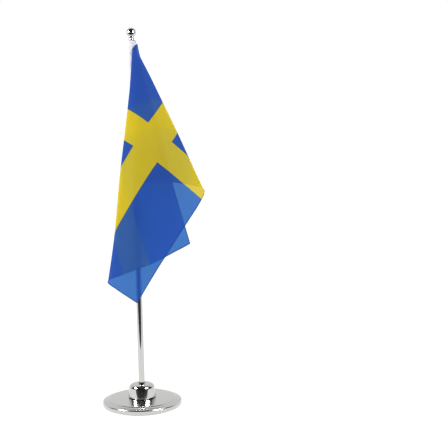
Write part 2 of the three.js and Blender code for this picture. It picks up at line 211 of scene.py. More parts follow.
def settle(piece, body, finish, slot, *nodes):
    """Gives a piece its finish, lets it move with its body, and puts it in place of CAD nodes."""
    piece.data.materials.append(finish)
    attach(piece, body)
    if nodes:
        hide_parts(*nodes)
    size = np.ptp([c[:] for c in piece.bound_box], axis=0) / MM
    print(piece.name, "is", size.round(1), "mm,", len(piece.data.polygons), "faces")
    return piece


# %% [markdown]
# ## Polished chrome plate
#
# The foot, pole, collar and ball are steel, polished and chrome-plated. Chrome gives back a
# little over half of the light in nearly neutral grey, so its colour looks dark by itself and
# takes everything else from the room. Plate over polished steel is never quite flat: it keeps a
# faint swell from the buffing wheel, hairline scratches and a haze of handling. Each of these is
# a noise at its own scale, put into the roughness and the bump and kept very weak.

# %% Chrome


def chrome_plate(name, low, high):
    """Low and high are the limits of its roughness."""
    made, tree = material(name)
    place = add(tree, "ShaderNodeTexCoord").outputs["Object"]
    haze = add(tree, "ShaderNodeTexNoise", {"Scale": 1 / (22 * MM), "Detail": 3.0}, {"Vector": place})
    stretched = add(
        tree,
        "ShaderNodeMapping",
        {"Scale": (1 / (0.5 * MM), 1 / (0.5 * MM), 1 / (9 * MM))},
        {"Vector": place},
    )
    hairlines = add(tree, "ShaderNodeTexNoise", {"Scale": 1.0, "Detail": 2.0}, {"Vector": stretched.outputs[0]})
    gloss = add(
        tree,
        "ShaderNodeMapRange",
        {"From Min": 0.35, "From Max": 0.75, "To Min": low, "To Max": high},
        {"Value": haze.outputs["Fac"]},
    )
    swell = add(tree, "ShaderNodeTexNoise", {"Scale": 1 / (14 * MM), "Detail": 1.0}, {"Vector": place})
    buffed = add(
        tree, "ShaderNodeBump", {"Strength": 0.05, "Distance": 0.35 * MM}, {"Height": swell.outputs["Fac"]}
    )
    scratched = add(
        tree,
        "ShaderNodeBump",
        {"Strength": 0.03, "Distance": 0.02 * MM},
        {"Height": hairlines.outputs["Fac"], "Normal": buffed.outputs[0]},
    )
    shader = add(
        tree,
        "ShaderNodeBsdfPrincipled",
        {"Base Color": linear("C6C6C4"), "Metallic": 1.0},
        {"Roughness": gloss.outputs[0], "Normal": scratched.outputs[0]},
    )
    finish_with(tree, shader.outputs[0])
    return made


chrome = chrome_plate("chrome_plate_on_polished_steel", 0.03, 0.085)
stamped_chrome = chrome_plate("chrome_plate_on_stamped_steel", 0.17, 0.24)
print("made", chrome.name, stamped_chrome.name)

# %% [markdown]
# ## Plain metals, rubber and silicone
#
# The pieces inside are zinc-plated steel, turned brass and cast iron. They show when the stand is
# taken apart or seen from below. Zinc plate is a cloudy grey with a soft sheen; brass is turned, so
# it carries fine rings; cast iron is dark and grainy from the sand. The pad and the washers are
# black rubber, and the ring under the sleeve is milky silicone.

# %% Zinc-plated steel, turned brass and cast iron


def plain_metal(name, colour, dark, rough, grain_mm, stretch, bump_mm):
    """A metal whose colour, gloss and surface all follow one grain. Stretch runs it round the axis."""
    made, tree = material(name)
    place = add(tree, "ShaderNodeTexCoord").outputs["Object"]
    scale = 1 / (grain_mm * MM)
    shaped = add(
        tree, "ShaderNodeMapping", {"Scale": (scale / stretch, scale / stretch, scale)}, {"Vector": place}
    )
    grain = add(tree, "ShaderNodeTexNoise", {"Scale": 1.0, "Detail": 5.0}, {"Vector": shaped.outputs[0]})
    shades = add(tree, "ShaderNodeValToRGB", links={"Fac": grain.outputs["Fac"]})
    shades.color_ramp.elements[0].position = 0.3
    shades.color_ramp.elements[0].color = linear(dark)
    shades.color_ramp.elements[1].position = 0.7
    shades.color_ramp.elements[1].color = linear(colour)
    gloss = add(
        tree,
        "ShaderNodeMapRange",
        {"From Min": 0.3, "From Max": 0.7, "To Min": rough + 0.12, "To Max": rough - 0.05},
        {"Value": grain.outputs["Fac"]},
    )
    bump = add(
        tree, "ShaderNodeBump", {"Strength": 0.5, "Distance": bump_mm * MM}, {"Height": grain.outputs["Fac"]}
    )
    shader = add(
        tree,
        "ShaderNodeBsdfPrincipled",
        {"Metallic": 1.0},
        {"Base Color": shades.outputs[0], "Roughness": gloss.outputs[0], "Normal": bump.outputs[0]},
    )
    finish_with(tree, shader.outputs[0])
    return made


zinc = plain_metal("zinc_plated_steel", "B4B8BA", "8E9294", 0.32, 1.6, 1, 0.02)
brass = plain_metal("turned_brass", "D8B872", "B8934C", 0.24, 0.25, 12, 0.03)
cast_iron = plain_metal("raw_cast_iron", "5A5856", "2E2C2B", 0.62, 0.9, 1, 0.25)

# %% Moulded rubber and silicone


def moulded(name, colour, pale, rough, grain_mm, clear=0.0):
    """A moulded elastomer: an even colour with a fine pebble from the mould, and dust in it."""
    made, tree = material(name)
    place = add(tree, "ShaderNodeTexCoord").outputs["Object"]
    pebble = add(
        tree, "ShaderNodeTexNoise", {"Scale": 1 / (grain_mm * MM), "Detail": 3.0}, {"Vector": place}
    )
    dust = add(tree, "ShaderNodeTexNoise", {"Scale": 1 / (11 * MM), "Detail": 4.0}, {"Vector": place})
    shades = add(tree, "ShaderNodeValToRGB", links={"Fac": dust.outputs["Fac"]})
    shades.color_ramp.elements[0].position = 0.45
    shades.color_ramp.elements[0].color = linear(colour)
    shades.color_ramp.elements[1].position = 0.8
    shades.color_ramp.elements[1].color = linear(pale)
    bump = add(
        tree, "ShaderNodeBump", {"Strength": 0.4, "Distance": 0.05 * MM}, {"Height": pebble.outputs["Fac"]}
    )
    shader = add(
        tree,
        "ShaderNodeBsdfPrincipled",
        {"Roughness": rough, "IOR": 1.42 if clear else 1.52, "Transmission Weight": clear},
        {"Base Color": shades.outputs[0], "Normal": bump.outputs[0]},
    )
    finish_with(tree, shader.outputs[0])
    return made


black_rubber = moulded("moulded_black_rubber", "151515", "2B2A29", 0.72, 0.35)
silicone = moulded("milky_silicone", "C9CDD0", "E4E6E7", 0.38, 0.6, clear=0.45)
print("made", zinc.name, brass.name, cast_iron.name, black_rubber.name, silicone.name)

# %% [markdown]
# ## Printed polyester
#
# The flag is a light woven polyester, printed right through, so both sides show the same print.
# Three things make it look like thin cloth and not like card. Most of its light is scattered back;
# part of it goes through and comes out soft on the other side; and a little slips straight through
# between the threads, which is why a layer behind shows as a crisp, darker shape. Those three are
# a diffuse, a translucent and a transparent shader, mixed.
# The print needs no picture: the cloth carries its own flat coordinates, and the cross is where
# they lie between the print's divisions.

# %% The print and the cloth's finish
PRINT_LENGTH = 224 * MM
PRINT_HEIGHT = 140 * MM
CROSS_ACROSS = (5 / 16, 7 / 16)  # the upright of the cross, as shares of the length
CROSS_DOWN = (4 / 10, 6 / 10)  # the bar of the cross, as shares of the height
THREAD = 0.45 * MM  # real threads are near 0.2 mm apart, drawn coarser so that the weave shows
THREADS = "flat_cloth"  # the name of the map that holds the cloth's flat coordinates


def weave(tree, flat):
    """Height of a plain weave: threads both ways, from the cloth's flat coordinates."""
    threads = []
    for axis in ("X", "Y"):
        along = add(tree, "ShaderNodeSeparateXYZ", links={"Vector": flat}).outputs[axis]
        turns = add(
            tree, "ShaderNodeMath", {"operation": "MULTIPLY", 1: 2 * math.pi / THREAD}, {0: along}
        )
        threads.append(add(tree, "ShaderNodeMath", {"operation": "SINE"}, {0: turns.outputs[0]}))
    return add(
        tree,
        "ShaderNodeMath",
        {"operation": "MULTIPLY"},
        {0: threads[0].outputs[0], 1: threads[1].outputs[0]},
    ).outputs[0]


def between(tree, value, low, high, soft):
    """1 where the value lies between two limits, with a soft edge."""
    rise = add(
        tree,
        "ShaderNodeMapRange",
        {"interpolation_type": "SMOOTHSTEP", "From Min": low - soft, "From Max": low + soft},
        {"Value": value},
    )
    fall = add(
        tree,
        "ShaderNodeMapRange",
        {
            "interpolation_type": "SMOOTHSTEP",
            "From Min": high - soft,
            "From Max": high + soft,
            "To Min": 1.0,
            "To Max": 0.0,
        },
        {"Value": value},
    )
    return add(
        tree, "ShaderNodeMath", {"operation": "MULTIPLY"}, {0: rise.outputs[0], 1: fall.outputs[0]}
    ).outputs[0]


def larger(tree, a, b):
    return add(tree, "ShaderNodeMath", {"operation": "MAXIMUM"}, {0: a, 1: b}).outputs[0]


def blended(tree, factor, a, b):
    """Colour a turning into colour b. Either is a socket or a hex colour."""
    settings, links = {"data_type": "RGBA"}, {0: factor}
    for index, colour in ((6, a), (7, b)):
        if isinstance(colour, str):
            settings[index] = linear(colour)
        else:
            links[index] = colour
    return add(tree, "ShaderNodeMix", settings, links).outputs[2]


def thin_cloth(tree, colour, tint, height, gauze, glow):
    """Scattering, translucent and see-through light, mixed. Gauze and glow are the last two's shares."""
    bump = add(tree, "ShaderNodeBump", {"Strength": 0.35, "Distance": 0.06 * MM}, {"Height": height})
    face = add(
        tree,
        "ShaderNodeBsdfPrincipled",
        {"Roughness": 0.72, "IOR": 1.54, "Specular IOR Level": 0.2, "Sheen Weight": 0.03},
        {"Base Color": colour, "Normal": bump.outputs[0]},
    )
    through = add(
        tree, "ShaderNodeBsdfTranslucent", links={"Color": colour, "Normal": bump.outputs[0]}
    )
    solid = add(tree, "ShaderNodeMixShader", {0: glow}, {1: face.outputs[0], 2: through.outputs[0]})
    holes = add(tree, "ShaderNodeBsdfTransparent", links={"Color": tint})
    cloth = add(tree, "ShaderNodeMixShader", {0: gauze}, {1: solid.outputs[0], 2: holes.outputs[0]})
    finish_with(tree, cloth.outputs[0])


def printed_polyester(name, blues, yellows, gauze, glow):
    """Blue cloth with a yellow cross. Each ink is given as its two shades."""
    made, tree = material(name)
    flat = add(tree, "ShaderNodeUVMap", {"uv_map": THREADS}).outputs[0]
    parts = add(tree, "ShaderNodeSeparateXYZ", links={"Vector": flat})
    upright = [share * PRINT_LENGTH for share in CROSS_ACROSS]
    bar = [share * PRINT_HEIGHT for share in CROSS_DOWN]

    def cross_shape(wider, soft):
        """The cross, made wider all round, with an edge as soft as the ink creeps along the threads."""
        lines = ((parts.outputs["X"], upright), (parts.outputs["Y"], bar))
        bands = [between(tree, at, low - wider, high + wider, soft) for at, (low, high) in lines]
        return larger(tree, *bands)

    place = add(tree, "ShaderNodeTexCoord").outputs["Object"]
    uneven = add(tree, "ShaderNodeTexNoise", {"Scale": 1 / (35 * MM), "Detail": 4.0}, {"Vector": place})
    blue = blended(tree, uneven.outputs["Fac"], *blues)
    yellow = blended(tree, uneven.outputs["Fac"], *yellows)
    cross = cross_shape(0, 0.3 * MM)
    # the two inks run into each other in a narrow dark line
    ground = blended(tree, cross_shape(0.5 * MM, 0.5 * MM), blue, "274F5C")
    colour = blended(tree, cross, ground, yellow)
    tint = blended(tree, cross, "7ED3FF", "D6CC9A")
    thin_cloth(tree, colour, tint, weave(tree, flat), gauze, glow)
    return made


def white_polyester():
    made, tree = material("white_woven_polyester")
    flat = add(tree, "ShaderNodeUVMap", {"uv_map": THREADS}).outputs[0]
    place = add(tree, "ShaderNodeTexCoord").outputs["Object"]
    uneven = add(tree, "ShaderNodeTexNoise", {"Scale": 1 / (12 * MM), "Detail": 4.0}, {"Vector": place})
    colour = blended(tree, uneven.outputs["Fac"], "C6C6CE", "DADAE0")
    thin_cloth(tree, colour, colour, weave(tree, flat), gauze=0.05, glow=0.35)
    return made


printed = printed_polyester(
    "printed_woven_polyester", ("1B4496", "214DA6"), ("C4AE18", "CEB920"), gauze=0.16, glow=0.4
)
# the hem's copy of the print: smaller see-through shares for its three layers, and darker shades that are
# painted shade
hem_print_painted_darker = printed_polyester(
    "printed_polyester_hem_painted_darker", ("163A80", "1A418C"), ("B09C16", "BBA71E"), gauze=0.03, glow=0.3
)
white = white_polyester()

# %% [markdown]
# Sewing thread is twisted from fine filaments, so each stitch is a tiny rope with a silky light
# along it. The stitches are real pieces below; the twist is a stripe in the bump, and the silky light
# along it is a painted sheen: paler bands in the colour that follow the twist.

# %% Sewing thread


def sewing_thread(name, colour):
    made, tree = material(name)
    place = add(tree, "ShaderNodeTexCoord").outputs["Object"]
    twist = add(
        tree,
        "ShaderNodeTexWave",
        {"wave_type": "BANDS", "bands_direction": "DIAGONAL", "Scale": 1 / (2.2 * MM), "Distortion": 1.0},
        {"Vector": place},
    )
    ridges = {"Height": twist.outputs["Fac"]}
    bump = add(tree, "ShaderNodeBump", {"Strength": 0.5, "Distance": 0.05 * MM}, ridges)
    # painted sheen: the thread's colour is lifted towards white along the twist, for the light on its strands
    painted_sheen_bands = add(tree, "ShaderNodeMapRange", {"To Max": 0.25}, {"Value": twist.outputs["Fac"]})
    shaded = blended(tree, painted_sheen_bands.outputs[0], colour, "FFFFFF")
    shader = add(
        tree,
        "ShaderNodeBsdfPrincipled",
        {"Roughness": 0.5, "Sheen Weight": 0.3},
        {"Base Color": shaded, "Normal": bump.outputs[0]},
    )
    finish_with(tree, shader.outputs[0])
    return made


white_thread = sewing_thread("white_sewing_thread", "DADCE4")
print("made", printed.name, hem_print_painted_darker.name, white.name, white_thread.name)

# %% [markdown]
# ## The foot
#
# The cover is one stamping: a low upright rim, a step, a second step and a field that climbs a
# little to the hole in its middle. Its section is drawn as lines and arcs, given its sheet
# thickness, and turned. A stamping has no sharp corners, so the section is run through a smoothing
# that rounds each bend to the radius a press leaves. On it sits the hub, a round-shouldered knob
# turned from solid.

# %% The cover
SHEET = 0.9 * MM
LIP_IN = 2.6 * MM  # how far the rim is rolled in under the foot
RIM_TOP = 6.2 * MM
RIM_ROUND = 1.6 * MM
RIDGE_IN = 6.6 * MM
FIELD = 8.2 * MM
FIELD_RISE = 1.0 * MM
HOLE_GAP = 0.55 * MM  # between the pole and the hub
BOSS = 7.6 * MM  # radius of the casting's boss, which centres the hub
GAP = 0.3 * MM


def smoothed(line, spacing, reach_mm):
    """A line of points spaced evenly and averaged over a short reach, which rounds its bends."""
    points = np.array(line)
    steps = np.r_[0, np.cumsum(np.linalg.norm(np.diff(points, axis=0), axis=1))]
    even = np.linspace(0, steps[-1], int(steps[-1] / spacing) + 1)
    fine = np.stack([np.interp(even, steps, points[:, k]) for k in (0, 1)], 1)
    half = max(int(reach_mm * MM / spacing), 1)
    kernel = np.hanning(2 * half + 3)[1:-1]
    kernel /= kernel.sum()
    padded = np.concatenate(
        [2 * fine[0] - fine[half:0:-1], fine, 2 * fine[-1] - fine[-2 : -half - 2 : -1]]
    )
    return np.stack([np.convolve(padded[:, k], kernel, "valid") for k in (0, 1)], 1)


def beside(line, distance):
    """A line of points moved sideways, to the left of its direction."""
    along = np.gradient(line, axis=0)
    along /= np.linalg.norm(along, axis=1)[:, None]
    return line + distance * np.stack([-along[:, 1], along[:, 0]], 1)


def cover_section():
    ridge = base_radius - RIDGE_IN
    lip_radius = base_radius - LIP_IN
    line = [(lip_radius, base_bottom)]
    line += arc(base_radius - RIM_ROUND, base_bottom + RIM_ROUND, RIM_ROUND, -90, 0, 8)
    line += arc(base_radius - RIM_ROUND, RIM_TOP - RIM_ROUND, RIM_ROUND, 0, 78, 8)
    line += [(base_radius - 2.6 * MM, RIM_TOP + 0.1 * MM), (base_radius - 3.1 * MM, RIM_TOP + 0.6 * MM)]
    line += [(ridge + 1.2 * MM, FIELD - 0.9 * MM), (ridge + 0.6 * MM, FIELD - 0.3 * MM)]
    line += [(ridge - 0.3 * MM, FIELD), (BOSS + GAP, FIELD + FIELD_RISE)]
    outside = smoothed(line, 0.22 * MM, 0.55)
    inside = beside(outside, SHEET)[::-1]
    return [tuple(p) for p in np.concatenate([outside, inside])]


cover = turned("foot_cover", cover_section(), 200)
settle(cover, "foot", stamped_chrome, "chrome", "base_shell")

# %% The hub
TAPER, SHOULDER, SHOULDER_HEIGHT, CROWN = 1.2 * MM, 5.8 * MM, 4.2 * MM, 0.3 * MM
BOSS_TOP = 12.75 * MM
SOCKET_BORE = 3.15 * MM
hub_radius, hub_seat, hub_top = reach("hub_knob")


def hub_section():
    core, hole = hub_radius - TAPER - SHOULDER, pole_radius + HOLE_GAP
    shoulder_z = hub_top - CROWN - SHOULDER_HEIGHT
    # the foot's round and the shoulder's round start where the tapered side meets them
    side = arc(hub_radius - 0.5 * MM, hub_seat + 0.5 * MM, 0.5 * MM, -90, 7, 6)
    side += [(r, shoulder_z + z * SHOULDER_HEIGHT / SHOULDER) for r, z in arc(core, 0, SHOULDER, 5, 86, 60)]
    top = [((core + hole) / 2, hub_top - 0.3 * CROWN), (hole + 0.3 * MM, hub_top), (hole, hub_top - 0.3 * MM)]
    bore = [(hole, socket_top), (SOCKET_BORE, socket_top), (SOCKET_BORE, BOSS_TOP + GAP)]
    return side + top + bore + [(BOSS + GAP, BOSS_TOP + GAP), (BOSS + GAP, hub_seat)]


hub = turned("foot_hub_knob", hub_section(), 256)
settle(hub, "foot", chrome, "chrome", "hub_knob")

# %% [markdown]
# The pad is a disc of soft rubber with a rounded edge and a ring pressed into its underside,
# which keeps it from creeping on a polished desk. The plate and the casting above it keep their
# CAD shapes: they are hidden unless the foot is cut open.

# %% The pad and the hidden pieces of the foot
pad_radius, pad_bottom, pad_top = reach("base_pad")


def pad_section():
    groove_from, groove_to = 0.55 * pad_radius, 0.8 * pad_radius
    depth = 0.4 * MM
    under = [(0, pad_bottom), (groove_from, pad_bottom), (groove_from + depth, pad_bottom + depth)]
    under += [(groove_to - depth, pad_bottom + depth), (groove_to, pad_bottom)]
    return rounded(under + [(pad_radius, pad_bottom), (pad_radius, pad_top), (0, pad_top)], 0.35 * MM)


pad = turned("foot_pad", pad_section(), 128)
settle(pad, "foot", black_rubber, "black_rubber", "base_pad")


def refinish(node, finish):
    """A CAD node whose shape is right keeps it, and takes a finished material."""
    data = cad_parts[node].data
    data.materials.clear()
    data.materials.append(finish)


for node, metal in {
    "ballast_casting": cast_iron,
    "bottom_plate": zinc,
    "socket_washer": zinc,
    "socket_lock_washer": zinc,
    "socket_nut": brass,
    "pole_top_bush": zinc,
}.items():
    refinish(node, metal)

# %% [markdown]
# ## The pole, its fittings and the ball
#
# The socket in the hub, the black washer that the pole stands on, the pole itself and the ball
# on its collar are all turned. Each gets the small rounds that a lathe tool leaves, because a
# metal edge is only seen by the thin light that runs along its round.

# %% Socket, washers, pole and collar
THREAD_GAP = 0.15 * MM
FOOT_THREAD = 2.0 * MM  # radius over the thread of the stud in the pole's foot
TOP_THREAD = 1.5 * MM  # radius over the thread of the stud in the ball
POLE_WALL = 0.5 * MM


def ring_piece(name, node, inner, round_mm):
    outer, bottom, top = reach(node)
    return turned(name, rounded(ring(inner, outer, bottom, top), round_mm * MM), 96)


socket = ring_piece("pole_socket_bush", "pole_socket", FOOT_THREAD + THREAD_GAP, 0.2)
settle(socket, "foot", brass, "brass", "pole_socket")
foot_washer = ring_piece("pole_foot_rubber_washer", "pole_foot_washer", FOOT_THREAD + THREAD_GAP, 0.2)
settle(foot_washer, "foot_washer", black_rubber, "black_rubber", "pole_foot_washer")
pole = ring_piece("chrome_pole", "pole_tube", pole_radius - POLE_WALL, 0.18)
settle(pole, "pole", chrome, "chrome", "pole_tube")
top_washer = ring_piece("finial_rubber_washer", "finial_washer", TOP_THREAD + THREAD_GAP, 0.12)
settle(top_washer, "top_washer", black_rubber, "black_rubber", "finial_washer")


def collar_section():
    bore, waist = TOP_THREAD + THREAD_GAP, collar_radius - 0.25 * MM
    line = [(bore, collar_bottom), (collar_radius, collar_bottom), (collar_radius, collar_bottom + 0.5 * MM)]
    line += [(waist, collar_bottom + 1.0 * MM), (waist, collar_top - 1.0 * MM)]
    line += [(collar_radius, collar_top - 0.5 * MM), (collar_radius, collar_top), (bore, collar_top)]
    return rounded(line, 0.2 * MM)


collar = turned("finial_neck", collar_section(), 96)
settle(collar, "finial", chrome, "chrome", "finial_collar")

# %% [markdown]
# The ball is drilled from below for its stud. Its section runs up the drilled hole, out over the
# flat seat and round the ball to the top, where the last point sits exactly on the axis.

# %% The ball


def ball_section():
    bore, depth = TOP_THREAD + THREAD_GAP, 3.8 * MM
    middle = ball_top - ball_radius
    seat_angle = math.degrees(math.asin((ball_seat - middle) / ball_radius))
    seat_radius = ball_radius * math.cos(math.radians(seat_angle))
    line = [(0, ball_seat + depth), (bore, ball_seat + depth), (bore, ball_seat)]
    line += [(seat_radius - 0.15 * MM, ball_seat)]
    side = arc(0, middle, ball_radius, seat_angle + 2, 90, 64)
    return line + side[:-1] + [(0, ball_top)]


ball = turned("finial_ball_polished", ball_section(), 128)
settle(ball, "finial", chrome, "chrome", "finial_ball")

# %% [markdown]
# A screw thread is one ridge that climbs as it goes round. The studs are grids wrapped round the
# axis, whose radius rises and falls once for each pitch of height and lags by one pitch for each
# turn, so the ridge is a true helix. They show when the pole or the ball is unscrewed.

# %% The threaded studs


def threaded_stud(name, node, radius, pitch, turns, shank):
    _, bottom, top = reach(node)
    around, per_pitch, depth = 64, 14, 0.6 * pitch
    rows = np.arange(turns * per_pitch + 1)
    angle = 2 * math.pi * np.arange(around) / around
    vertices = []
    for row in rows:
        phase = (row / per_pitch - np.arange(around) / around) % 1
        ridge = np.clip(1.25 * (1 - abs(2 * phase - 1)), 0, 1)
        fade = min(row / per_pitch, (rows[-1] - row) / per_pitch, 1)  # the thread runs out at both ends
        r = radius - depth + depth * ridge * fade
        z = bottom + row * pitch / per_pitch
        vertices += [(x, y, z) for x, y in zip(r * np.cos(angle), r * np.sin(angle))]
    shoulder = bottom + turns * pitch
    for r, z in ((radius - depth, shoulder + 0.2 * MM), (shank, shoulder + 0.4 * MM), (shank, top)):
        vertices += [(r * math.cos(a), r * math.sin(a), z) for a in angle]
    count = len(vertices) // around
    faces = [
        (
            i * around + j,
            i * around + (j + 1) % around,
            (i + 1) * around + (j + 1) % around,
            (i + 1) * around + j,
        )
        for i in range(count - 1)
        for j in range(around)
    ]
    faces.append(tuple(range(around))[::-1])
    faces.append(tuple(range((count - 1) * around, count * around)))
    return sharp_edges(mesh_piece(name, vertices, faces), 40)


foot_low, foot_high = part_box("pole_foot_stud")
foot_turns = round((foot_high.z - foot_low.z - 14.4 * MM) / (0.7 * MM))
foot_stud = threaded_stud(
    "pole_foot_thread", "pole_foot_stud", FOOT_THREAD, 0.7 * MM, foot_turns, pole_radius - POLE_WALL - 0.3 * MM
)
settle(foot_stud, "pole", zinc, "steel", "pole_foot_stud")
top_stud = threaded_stud("finial_thread", "finial_stud", TOP_THREAD, 0.5 * MM, 12, TOP_THREAD)
settle(top_stud, "finial", zinc, "steel", "finial_stud")

# %% The ring under the sleeve
ring_outer, ring_bottom, ring_top = reach("sleeve_stop_ring")
ring_section = (ring_top - ring_bottom) / 2
stop_ring = turned(
    "sleeve_grip_ring",
    arc(ring_outer - ring_section, ring_bottom + ring_section, ring_section, 0, 348.75, 31),
    96,
)
settle(stop_ring, "stop_ring", silicone, "clear_rubber", "sleeve_stop_ring")

# %% [markdown]
# ## How the cloth hangs
#
# A small flag on a still day hangs from one point, its top corner at the pole. Every thread line
# that starts at that corner falls nearly straight, because cloth doesn't stretch, and the cloth
# between those lines bends only sideways. So the shape is a cone of straight lines, and all of
# its folds can be drawn as one bent strip: where the lines point, from the hoist edge, which
# falls straight down the pole, to the top edge, which ends up folded behind the front panel.
# Stretches and turns of that strip are the whole design. Each length is kept, so the cloth has the
# size that it was cut to. A cloth simulation was the other choice; it finds folds of its own,
# and the folds wanted here are particular ones.

# %% The strip that the folds follow
SEAM_ALLOWANCE = 11.2 * MM
CORNER_DROP = 3.2 * MM
TOP_HEM = 2.7 * MM  # how much of the print is turned over into the top edge
sleeve_low, sleeve_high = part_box("flag_sleeve")
seam_x = sleeve_high.x
corner = np.array([seam_x + 0.55 * MM, -pole_radius / 2, sleeve_high.z - CORNER_DROP])
cloth_length = PRINT_LENGTH - SEAM_ALLOWANCE
cloth_drop = PRINT_HEIGHT - CORNER_DROP

HANG_START = 63.4
HANG = [(25.9, -87.9), (5, -108.6), (32.3, -61.5), (3.3, -148.5), (23.5, 29.9)]  # (stretch, turn) in degrees


def hang_strip(steps=1440):
    """How far across and away each thread line leans, in degrees, by its angle in the flat cloth."""
    runs = np.array([run for run, _ in HANG]) * 90 / sum(run for run, _ in HANG)
    turns = np.array([turn for _, turn in HANG])
    middle = (np.arange(steps) + 0.5) * 90 / steps
    heading = HANG_START + np.interp(middle, np.r_[0, np.cumsum(runs)], np.r_[0, np.cumsum(turns)])
    stride = 90 / steps * np.exp(1j * np.radians(heading))
    path = np.r_[0, np.cumsum(stride)]
    return np.linspace(0, 90, steps + 1), path


strip_at, strip = hang_strip()
print("folds reach", round(strip.real.min(), 1), "to", round(strip.real.max(), 1), "degrees across")

# %% [markdown]
# Close to the corner all the layers meet in a few millimetres, and there the real cloth wraps round
# the sleeve before it falls free. The same formula as the frame's brings the front layers across
# the sleeve and forward of it. On top of that the finished cloth gets what a plain cone lacks:
# slow swells that grow towards the free edges, a few soft creases that run with the fall, and a
# slight curl of the hems.

# %% From flat cloth to hanging cloth
WRAP_ACROSS, WRAP_ACROSS_WITHIN = 4.22 * MM, 2.55 * MM
WRAP_FORWARD, WRAP_FORWARD_WITHIN = 3.4 * MM, 2.5 * MM
WRAP_KEPT, WRAP_EASED_BY = 0.675, 42 * MM
BIAS_STRETCH, BIAS_DRAW = 0.035, 0.033


def smoothstep(x, low, high):
    t = np.clip((x - low) / (high - low), 0, 1)
    return t * t * (3 - 2 * t)


def given_length(distance, angle):
    """A length of cloth after the weave has given on the bias, where no thread carries the weight."""
    draw = BIAS_DRAW * np.exp(-(((angle - 34) / 14) ** 2)) * (1 - (distance / (250 * MM)) ** 2)
    return distance * (1 + BIAS_STRETCH * np.exp(-(((angle - 62) / 12) ** 2)) - draw)


def cone_point(flat_distance, angle):
    """The plain cone: a point at a distance from the corner, on the line at an angle to the top edge."""
    distance = given_length(flat_distance, angle)
    across = np.interp(90 - angle, strip_at, strip.real)
    away = np.interp(90 - angle, strip_at, strip.imag)
    lean = np.hypot(across, away)
    share = np.where(lean > 1e-9, np.sin(np.radians(lean)) / np.maximum(lean, 1e-9), 0)
    kept = 1 - (1 - WRAP_KEPT) * smoothstep(distance, WRAP_ACROSS_WITHIN, WRAP_EASED_BY)
    over, forward = smoothstep(90 - angle, 10, 34), smoothstep(90 - angle, 0, 35)
    wrap_across = over * kept * WRAP_ACROSS * (1 - np.exp(-distance / WRAP_ACROSS_WITHIN))
    wrap_forward = forward * WRAP_FORWARD * (1 - np.exp(-distance / WRAP_FORWARD_WITHIN))
    return np.stack(
        [
            corner[0] - wrap_across + distance * share * across,
            corner[1] - wrap_forward + distance * share * away,
            corner[2] - distance * np.cos(np.radians(lean)),
        ],
        -1,
    )


def edge_distance(angle):
    """How far from the corner the cloth's edge is, along the line at this angle."""
    turn = np.radians(angle)
    to_edge = cloth_length / np.maximum(np.cos(turn), 1e-6)
    to_hem = cloth_drop / np.maximum(np.sin(turn), 1e-6)
    return np.minimum(to_edge, to_hem)


def cloth_point(distance, angle):
    """The finished cloth: the cone, with swells along its normal."""
    here = cone_point(distance, angle)
    step_out = cone_point(distance + 0.5 * MM, angle) - cone_point(distance - 0.5 * MM, angle)
    just_past = cone_point(distance, np.minimum(angle + 0.5, 90))
    just_before = cone_point(distance, np.maximum(angle - 0.5, 0))
    step_on = just_past - just_before
    normal = np.cross(step_out, step_on)
    normal /= np.maximum(np.linalg.norm(normal, axis=-1, keepdims=True), 1e-12)
    far = distance / cloth_length
    long_wave = np.sin(np.radians(angle * 17 + 40))
    short_wave = np.sin(np.radians(angle * 31 + distance / MM * 1.1))
    swell = 0.9 * long_wave + 0.5 * short_wave
    drift = 0.6 * np.sin(distance / MM * 0.052 + np.radians(angle * 3.1))
    held = smoothstep(90 - angle, 0, 12)  # the hoist edge is sewn down and can't swell
    return here + normal * ((swell * far**1.5 + drift * far) * MM * held)[..., None]


# %% [markdown]
# The cloth is a fan of lines from the corner, closer together in the folds, and each line carries
# the same number of points out to its edge. One line runs exactly through the free corner, so that
# the corner stays sharp. Each point also stores where it lies in the flat print.

# %% The cloth


def fan_angles(count):
    """Angles across the cloth, spaced by how much it bends there, with one through the free corner."""
    heading = np.abs(np.diff(np.angle(np.diff(strip))))
    bend = np.r_[0, np.minimum(heading, 2 * math.pi - heading), 0]
    density = np.cumsum(0.05 + np.degrees(bend) * 0.12)
    density = (density - density[0]) / (density[-1] - density[0])
    angles = np.interp(np.linspace(0, 1, count), density, strip_at)
    angles = np.sort(90 - angles)
    free_corner = math.degrees(math.atan2(cloth_drop, cloth_length))
    angles[np.argmin(abs(angles - free_corner))] = free_corner
    return angles


FAN = fan_angles(300)
OUT = np.linspace(0, 1, 150) ** 1.15
FIRST = 0.8 * MM  # the cloth starts this far from the corner, inside the seam


def cloth_grid():
    angle = np.repeat(FAN[:, None], len(OUT), 1)
    distance = FIRST + (edge_distance(FAN)[:, None] - FIRST) * OUT[None, :]
    return angle, distance


def grid_piece(name, points, flat):
    """A sheet over a grid of points, carrying its flat coordinates in metres as a UV map."""
    rows, columns = points.shape[:2]
    index = np.arange(rows * columns).reshape(rows, columns)
    faces = np.stack([index[:-1, :-1], index[:-1, 1:], index[1:, 1:], index[1:, :-1]], -1).reshape(-1, 4)
    piece = mesh_piece(name, points.reshape(-1, 3), faces.tolist())
    layer = piece.data.uv_layers.new(name=THREADS)
    corners = np.empty(len(piece.data.loops), int)
    piece.data.loops.foreach_get("vertex_index", corners)
    layer.uv.foreach_set("vector", flat.reshape(-1, 2)[corners].astype(np.float32).ravel())
    return piece


angle, distance = cloth_grid()
flat = np.stack(
    [
        SEAM_ALLOWANCE + distance * np.cos(np.radians(angle)),
        TOP_HEM + distance * np.sin(np.radians(angle)),
    ],
    -1,
)
cloth = grid_piece("flag_printed_cloth", cloth_point(distance, angle), flat)
settle(cloth, "flag", printed, "printed_cloth", "flag_cloth")

# %% [markdown]
# The three free edges have a narrow rolled hem: the edge is turned over twice and caught with
# thread, so it is three layers thick and lets less light through, and its print is given darker
# shades as painted shade. It is a small round tube that follows the edge.

# %% The rolled hem
HEM_RADIUS = 0.42 * MM


